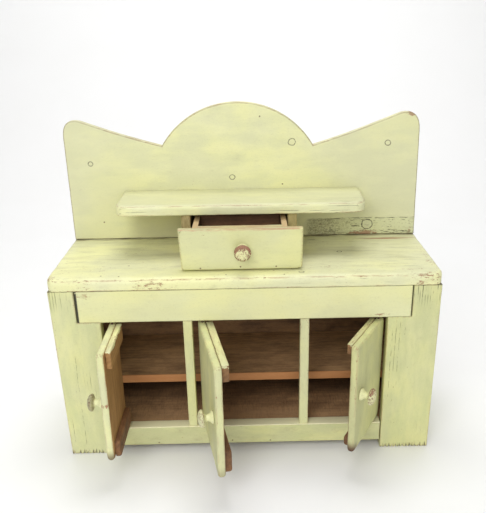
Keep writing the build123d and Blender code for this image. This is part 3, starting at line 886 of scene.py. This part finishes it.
def make_post(side, seed, checks, shade, lines):
    """A stile with the notch for the rail's end, and a foot frayed by damp."""
    node = f"{side}_post"
    low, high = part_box(node)
    rail_low, rail_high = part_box("top_rail")
    width, height = high.x - low.x, high.z - low.z
    matrix = frame_from((high.x, high.y, low.z), UP, FRONT)
    shoulder = rail_low.z - low.z
    if side == "left":
        step = high.x - rail_low.x + 0.6 * MM
        foot = width - LEFT_FOOT_TAPER
        points = [(0, 0), (shoulder, 0), (shoulder, step), (height, step), (height, width), (0, foot)]
    else:
        step = high.x - rail_high.x - 0.6 * MM
        foot = width
        points = [(0, 0), (height, 0), (height, step), (shoulder, step), (shoulder, width), (0, width)]
    outline = rounded_outline(points, 1.2 * MM, 3) + frayed_foot(foot, seed)
    plank = Plank(f"{node}_wood", outline, high.y - low.y, matrix, seed=seed, wear=0.8 * MM)
    look = painted(f"{node}_paint", seed, green=0.8, grey=0.35, streak=0.15, specks=0.15, edges=0.55,
                   cracks=0.05, dirt=0.4, shade=shade, extra=post_marks(height / MM, checks, lines))
    settle(plank.build().make_object(), node, look)


def frayed_foot(width, seed):
    """Short splits up into the end grain of a post, from its far corner back to its near one."""
    made = []
    y = width - 5 * MM
    k = 0
    while y > 9 * MM:
        depth = (3 + 7 * abs(wobble(y, k, 0, 0.004, seed))) * MM
        half = (1.1 + 1.3 * abs(wobble(y, k, 5, 0.004, seed))) * MM
        made.extend([Vector((0, y + half)), Vector((depth, y + half * 0.3)), Vector((0, y - half))])
        y -= (7 + 7 * abs(wobble(k, y, 1, 0.005, seed + 1))) * MM
        k += 1
    return made


# ---- knobs
KNOB_PROFILE = (
    (0.01, 0), (12.2, 0), (12.5, 0.9), (12.2, 2.4), (10.8, 4), (8.6, 6), (6.9, 8.4), (6, 11),
    (6.1, 13.4), (7.4, 15.4), (10.2, 16.8), (13.4, 17.8), (15.8, 19), (16.7, 20.6), (16.5, 22.2),
    (15.2, 24.3), (12.6, 26.3), (8.8, 27.9), (4.5, 28.8), (0.01, 29))
KNOB_BASE_RIM = 2
KNOB_HEAD_RIM = 13


def make_knob(node, turned, seed, worn, dirt=0):
    """A turned knob: flared base, waist and domed head, with the small unevenness of hand turning."""
    low, high = node_box(node, turned)
    spigot = 11 * MM
    back = Vector(((low.x + high.x) / 2, high.y - spigot, (low.z + high.z) / 2))
    matrix = (turned or Matrix()) @ frame_from(back, UP, FRONT)
    around = 56
    verts, faces, gaps = [], [], []
    for i, (r, h) in enumerate(KNOB_PROFILE):
        from_rim = min(abs(i - KNOB_HEAD_RIM) * 1.6, abs(i - KNOB_BASE_RIM) * 1.8)
        for k in range(around):
            angle = 2 * math.pi * k / around
            x, y = math.cos(angle), math.sin(angle)
            dent = 0.3 * max(0, wobble(x * 9, y * 9, h, 6, seed)) * math.exp(-(from_rim / 2.5) ** 2)
            shrink = 1 - 0.014 * (0.5 + 0.5 * wobble(x * 4, y * 4, h * 0.3, 5, seed + 3))
            reach = (r * shrink - dent) * MM
            verts.append((reach * x, reach * y, h * MM))
            gaps.append(from_rim)
    rings = len(KNOB_PROFILE)
    for i in range(rings - 1):
        for k in range(around):
            j = (k + 1) % around
            faces.append([i * around + k, i * around + j, (i + 1) * around + j, (i + 1) * around + k])
    faces.append(list(range(around))[::-1])
    faces.append([(rings - 1) * around + k for k in range(around)])
    piece = mesh_object(f"{node}_turned", verts, faces, gaps)
    piece.matrix_world = matrix
    settle(piece, node, knob_paint(f"{node}_paint", seed, worn, dirt))


def knob_paint(name, seed, worn, dirt):
    """Thick crackled paint, worn to primer round the head and most of all above it."""
    def lay(s):
        g = s.g
        radius = g.away(0, 0)
        head = g.within(g.z, 14, 17)
        ring = g.times(g.within(radius, 8, 15), head)
        above = g.times(g.within(g.x, -4, 14), head)
        ragged = g.noise(0.9, 0.32, 5, 0.75)
        level = g.add(ragged, g.times(ring, 0.1 * worn), g.times(above, 0.1 * worn))
        crackle = g.within(g.cells(1, 0.34), 0.12, 0.03)
        s.layer(g.times(crackle, head, g.within(ragged, 0.42, 0.54)), PRIMER, 0.35 + 0.3 * worn, sink=0.3)
        s.layer(g.within(level, 0.62, 0.65), g.mix(g.patch(0.4, 0.6, 1, 0.6), linear(122, 76, 58), PRIMER),
                0.9, sink=0.3, rough=0.15)
        s.layer(g.within(g.z, 1.4, 0.2), GRIME, 0.7)
        s.layer(head, linear(112, 96, 68), dirt)

    return painted(name, seed, green=0.2, grey=0.3, specks=0.5, edges=0.2, dirt=0.6, extra=lay)


# ---- carcass
def wooden_board(node, grain, outward, seed, *tones, extra=None, **look):
    """A board of bare wood; tones are its dark and its light colour."""
    wood = bare_wood(f"{node}_grain", seed, *tones, extra=extra, **look)
    simple_board(node, grain, outward, wood, seed=seed)


def make_rails():
    low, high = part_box("top_rail")
    marks = rail_end_marks((high.x - low.x) / MM, (high.z - low.z) / MM)
    # Painted shade: the shade values darken the rails' paint, the bottom rail's most.
    look = painted("top_rail_paint", 5, green=0.15, grey=0.15, streak=0.1, specks=0.1, edges=0.5, dirt=0.25,
                   shade=0.94, extra=marks)
    simple_board("top_rail", RIGHT, FRONT, look, corner=2.5 * MM, trim=1.4 * MM, seed=5)
    look = painted("bottom_rail_paint", 6, green=0.9, grey=0.6, streak=0.3, edges=0.5, cracks=0.1, dirt=0.8,
                   shade=0.83, extra=sill_highlight_and_nails(44))
    simple_board("bottom_rail", RIGHT, FRONT, look, seed=6)


def make_half(side, k, outward):
    """The divider, side panel and cleats of one half of the cupboard."""
    # Painted shade: the shade value darkens the divider's paint.
    look = painted(f"{side}_muntin_paint", 7 + k, green=0.7, grey=0.4, edges=0.4, dirt=0.5, shade=0.9)
    simple_board(f"{side}_muntin", UP, FRONT, look, seed=7 + k)
    look = painted(f"{side}_side_paint", 9 + k, green=0.5, grey=0.5, cracks=0.3, dirt=0.5)
    lean = LEFT_FOOT_TAPER if side == "left" else 0
    simple_board(f"{side}_side_panel", UP, outward, look, seed=9 + k, lean=lean)
    for j, piece in enumerate(("floor_cleat", "shelf_cleat")):
        wooden_board(f"{side}_{piece}", BACK, UP, 11 + 2 * k + j)


def make_carcass():
    make_worktop()
    make_backboard()
    # Painted shade: the fourth value of each post darkens its paint, the right post's more.
    make_post("left", 3, 0.5, 0.91, ((58, 20, 240), (80, 10, 90)))
    make_post("right", 4, 0.95, 0.86, ((84, 180, 305), (76, 150, 300), (91, 120, 300), (66, 240, 300)))
    make_rails()
    make_half("left", 0, LEFT)
    make_half("right", 1, RIGHT)
    wooden_board("left_drawer_cheek", UP, FRONT, 15, linear(150, 130, 84), linear(206, 190, 138), stain=0.2)
    wooden_board("right_drawer_cheek", UP, FRONT, 16, linear(158, 142, 92), linear(190, 174, 116), stain=0.15)
    for k, level in enumerate(("lower", "middle", "upper")):
        tones = linear(104, 76, 50), linear(160, 122, 80)
        wooden_board(f"back_board_{level}", RIGHT, BACK, 17 + k, *tones, stain=0.6)
    wooden_board("floor_panel", RIGHT, UP, 20, saw=0.4, extra=floor_painted_shade_and_light)
    wooden_board("inner_shelf", RIGHT, UP, 21, extra=orange_front)
    make_upper_shelf()


def floor_painted_shade_and_light(s):
    """A floor with painted shade, darker towards the back of the cupboard, and painted light, lighter in front."""
    g = s.g
    ragged = g.add(g.y, g.waver(90, 0.6, 0.02, 3))
    # Painted shade towards the back, then painted light at the front.
    s.layer(g.within(ragged, 70, 170), linear(58, 42, 30), 0.7)
    s.layer(g.within(ragged, 60, 10), linear(206, 166, 122), 0.45)


def sill_highlight_and_nails(height):
    """Painted light on the top of the bottom rail, a bright strip by its upper front corner, and nail dots."""
    def lay(s):
        g = s.g
        # Painted highlight: a near-white strip along the upper front corner of the rail.
        s.layer(g.within(g.y, height - 2, height - 0.6), linear(255, 251, 208), 0.9)
        nail_dots(s, ((95, 5), (250, 7), (330, 5)))

    return lay


def orange_front(s):
    """The shelf's front edge, kept cleaner and warmer by hands."""
    s.layer(s.g.within(s.g.y, 3, 1), WOOD_ORANGE, 0.75)


def make_upper_shelf():
    """Plank with skewed ends, round front corners and a well rounded top edge."""
    low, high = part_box("upper_shelf")
    depth = high.y - low.y
    points = [(1 * MM, 0), (high.x - low.x - 5 * MM, 0), (high.x - low.x, depth), (2.5 * MM, depth)]
    outline = rounded_outline(points, (28 * MM, 32 * MM, 14 * MM, 8 * MM), 9)

    def top_edge(x, y):
        return (0.8 + 7.7 * smooth_step(depth - y, 0, 11 * MM)) * MM

    # Painted shade: the shelf's top face gets darker grey paint to hold down the light it gets from above.
    def painted_shade_on_top(s):
        s.layer(s.g.within(s.g.z, 17, 21.5), scaled(PAINT_GREY, 0.8), 0.5)

    def lower_edge(x, y):
        return (0.8 if y > depth - 3 * MM else 3) * MM

    plank = Plank("upper_shelf_wood", outline, high.z - low.z, frame_from(low, RIGHT, UP), seed=22,
                  front_edge=top_edge, back_edge=lower_edge, arc_steps=6, wear=0.4 * MM)
    look = painted("upper_shelf_paint", 22, green=0.4, grey=0.4, streak=0.5, specks=0.2, edges=0.9,
                   cracks=0.6, dirt=0.5, extra=painted_shade_on_top)
    settle(plank.build().make_object(), "upper_shelf", look)


# ---- drawer
def make_drawer_front():
    """A lipped front: the lip is one plank, and the part between the sides is another behind it."""
    low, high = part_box("drawer_front")
    lip = 12 * MM
    width, height = high.x - low.x, high.z - low.z
    points = [(3.5 * MM, 0), (width - 1 * MM, 0), (width, height), (0, height)]
    matrix = frame_from((low.x, low.y + lip, low.z), RIGHT, FRONT)
    outline = rounded_outline(points, (5.5 * MM, 7 * MM, 4 * MM, 2 * MM), 6)

    def front_edge(x, y):
        return 3 * MM if 8 * MM < x < width - 8 * MM else 5.5 * MM

    plank = Plank("drawer_front_wood", outline, lip, matrix, seed=30, front_edge=front_edge,
                  back_edge=lambda x, y: 1 * MM, arc_steps=5).build()
    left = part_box("drawer_left_side")[1].x - low.x
    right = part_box("drawer_right_side")[0].x - low.x
    core_points = [(left, 0.2 * MM), (right, 0.2 * MM), (right, height - 0.2 * MM), (left, height - 0.2 * MM)]
    depth = high.y - low.y
    core = Plank("core", rounded_outline(core_points, 1 * MM, 2), depth - lip + 1 * MM, matrix, seed=31)
    plank.join(core.build(), lip - depth)
    # Painted shade: the shade value darkens the drawer front's paint.
    look = painted("drawer_front_paint", 30, green=0.25, grey=0.3, streak=0.1, specks=0.1, edges=0.6,
                   dirt=0.4, shade=0.875, extra=drawer_marks(height / MM))
    settle(plank.make_object(), "drawer_front", look)


def drawer_marks(height):
    """Nail dots by the lower edge, a rubbed red line by the upper edge, and grime round the knob."""
    def lay(s):
        g = s.g
        upper = g.less(height, g.y)
        line = g.times(g.within(upper, 5.5, 2), g.patch(0.42, 0.6, 0.08, 0.22, 5, 0.75))
        s.layer(line, linear(186, 128, 100), 0.65, sink=0.1)
        s.layer(g.within(upper, 2, 0.5), GRIME, 0.25)
        s.layer(near(g, 122, 38, 22, 22), GRIME, 0.2)
        nail_dots(s, ((41, 4), (119, 6), (188.5, 5.5)))

    return lay


def light_top(height):
    """Lit tan wood on the upper edge of a drawer side, above the painted shade of the rest of the side, whichever
    way the board is turned.
    """
    def lay(s):
        g = s.g
        upper = g.within(g.y, 3, 1) if height is None else g.within(g.y, height - 3, height - 1)
        s.layer(upper, WOOD_TAN, 0.85)

    return lay


def make_drawer():
    make_drawer_front()
    low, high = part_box("drawer_left_side")
    # Painted shade: the drawer's pieces take the shaded wood colours.
    for k, (piece, grain, outward, extra) in enumerate((
            ("left_side", BACK, LEFT, light_top(None)),
            ("right_side", BACK, RIGHT, light_top((high.z - low.z) / MM)),
            ("back", RIGHT, BACK, None),
            ("bottom", RIGHT, UP, None))):
        wooden_board(f"drawer_{piece}", grain, outward, 32 + k, SHADED_DARK, SHADED_LIGHT, stain=0.3,
                     extra=extra)
    make_knob("drawer_knob", None, 36, 1.6)


# ---- doors
def make_door(side, seed, golden, shade, knob_wear, knob_dirt):
    """A door's pieces; golden is how far its bare inner face goes from the shaded wood colours, painted shade,
    towards lit golden wood.
    """
    turned = door_turn(side)
    dark = tuple(a + (b - a) * golden for a, b in zip(SHADED_DARK, linear(150, 110, 62)))
    light = tuple(a + (b - a) * golden for a, b in zip(SHADED_LIGHT, WOOD_GOLD))

    low, high = node_box(f"{side}_door_panel", turned)
    free = (high.x - low.x) / MM if side == "right" else 0
    knob_low, knob_high = node_box(f"{side}_door_knob", turned)
    knob_height = ((knob_low.z + knob_high.z) / 2 - low.z) / MM

    def panel_edge(x, y):
        return (6.8 - 1.8 * smooth_step(x, 4 * MM, 22 * MM)) * MM

    def marks(s):
        g = s.g
        worn_through(s, near(g, 2, 70, 120, 9), 0.8)
        foot_dirt = {"left": 0.8, "centre": 0.35, "right": 1}[side]
        s.layer(near(g, 2, free, 30, 26), linear(88, 56, 36), foot_dirt)
        worn_through(s, near(g, 231, free, 14, 12), 1, CHIPPED_WOOD)
        if side == "left":
            worn_through(s, near(g, knob_height + 3, free, 8, 7), 1.5, linear(158, 84, 58))

    look = half_painted(f"{side}_door_paint", seed, bare_behind(0.6), dark, light, green=0.7, grey=0.7,
                        streak=0.3, specks=0.2, edges=0.5, cracks=0.15, dirt=0.6, shade=shade, extra=marks)
    simple_board(f"{side}_door_panel", UP, FRONT, look, turned=turned, corner=6 * MM, seed=seed,
                 front_edge=panel_edge, back_edge=panel_edge, wear=0.9 * MM, arc_steps=4)
    soft, hard = 8 * MM, 2 * MM
    corners = (soft, hard, hard, soft) if side == "right" else (hard, soft, soft, hard)
    look = half_painted(f"{side}_upper_batten_paint", seed + 1, bare_below_top, dark, light, green=0.2,
                        grey=0.6, specks=0.8, cracks=0.4, dirt=0.9, shade=shade)
    simple_board(f"{side}_door_upper_batten", RIGHT, BACK, look, turned=turned, corner=2.5 * MM,
                 edge=2.2 * MM, seed=seed + 1, wear=1.2 * MM)
    look = bare_wood(f"{side}_lower_batten_grain", seed + 2, linear(92, 62, 38), linear(146, 104, 64))
    simple_board(f"{side}_door_lower_batten", RIGHT, BACK, look, turned=turned, corner=corners,
                 seed=seed + 2, front_edge=lambda x, y: 4 * MM, back_edge=lambda x, y: 1 * MM,
                 wear=1.2 * MM, arc_steps=4)
    make_knob(f"{side}_door_knob", turned, seed + 3, knob_wear, knob_dirt)


def finish_fasteners():
    steel = nail_steel()
    for node, piece in frame["nodes"].items():
        if node.endswith("nails") or node.endswith("_pin"):
            piece.data.materials.clear()
            piece.data.materials.append(steel)


# ---- room, light and camera
def make_room():
    """A white sweep, floor, curve and wall in one sheet, and a plain white sky."""
    bend, wall, half_width, steps = 1.3, 2.6, 6, 16
    profile = [(-4, 0), (wall - bend, 0)]
    for k in range(1, steps + 1):
        angle = math.pi / 2 * k / steps
        profile.append((wall - bend + bend * math.sin(angle), bend - bend * math.cos(angle)))
    profile.append((wall, 4.5))
    verts = [(x, y, z) for y, z in profile for x in (-half_width, half_width)]
    faces = [(k, k + 1, k + 3, k + 2) for k in range(0, len(verts) - 2, 2)]
    sweep = mesh_object("sweep", verts, faces, [0] * len(verts))
    g = Graph("sweep_white", 0)
    tone = g.mix(g.noise(1, 0.004, 2), linear(243, 243, 242), linear(246, 246, 246))
    sweep.data.materials.append(g.done(tone, 0.9, g.noise(1, 0.1, 2), 0.05))
    world = bpy.data.worlds.new("studio")
    bpy.context.scene.world = world
    world.use_nodes = True
    background = world.node_tree.nodes["Background"]
    background.inputs[0].default_value = (1, 1, 1, 1)
    background.inputs[1].default_value = 0.4


def area_light(name, place, target, size, power):
    light = bpy.data.lights.new(name, "AREA")
    light.shape = "DISK"
    light.size = size
    light.energy = power
    lamp = placed_object(name, light)
    lamp.location = place
    lamp.rotation_euler = (Vector(target) - Vector(place)).to_track_quat("-Z", "Y").to_euler()


def make_camera():
    """Looks down at the front from a standing child's height, a little over a metre away."""
    place = Vector((0.0085, -1.163, 0.8704))
    pitch, yaw, roll = math.radians(21.2), math.radians(0.8), math.radians(0.8)
    level = Matrix.Rotation(-yaw, 4, "Z") @ Matrix.Rotation(math.pi / 2 - pitch, 4, "X")
    data = bpy.data.cameras.new("camera")
    data.lens = 44.9
    data.shift_x = -0.0287
    data.shift_y = 0.0064
    camera = placed_object("camera", data)
    camera.matrix_world = Matrix.Translation(place) @ level @ Matrix.Rotation(-roll, 4, "Z")
    bpy.context.scene.camera = camera


make_carcass()
make_drawer()
# Painted shade: the fourth value darkens each door's paint, the right door's most.
make_door("left", 40, 0.9, 0.97, 0.5, 0.55)
make_door("centre", 50, 0.4, 0.88, 0.35, 0.1)
make_door("right", 60, 0.4, 0.78, 0.8, 0)
finish_fasteners()
make_room()
area_light("key", (-0.5, -1.6, 1.6), (0, 0, 0.35), 1.3, 20.5)
area_light("fill", (0.5, -2.4, 0.6), (0, 0, 0.3), 1.6, 11)
area_light("backdrop", (0, 0.6, 3.2), (0, 2.4, 0.8), 2, 60)
make_camera()
bpy.context.scene.view_settings.view_transform = "Standard"
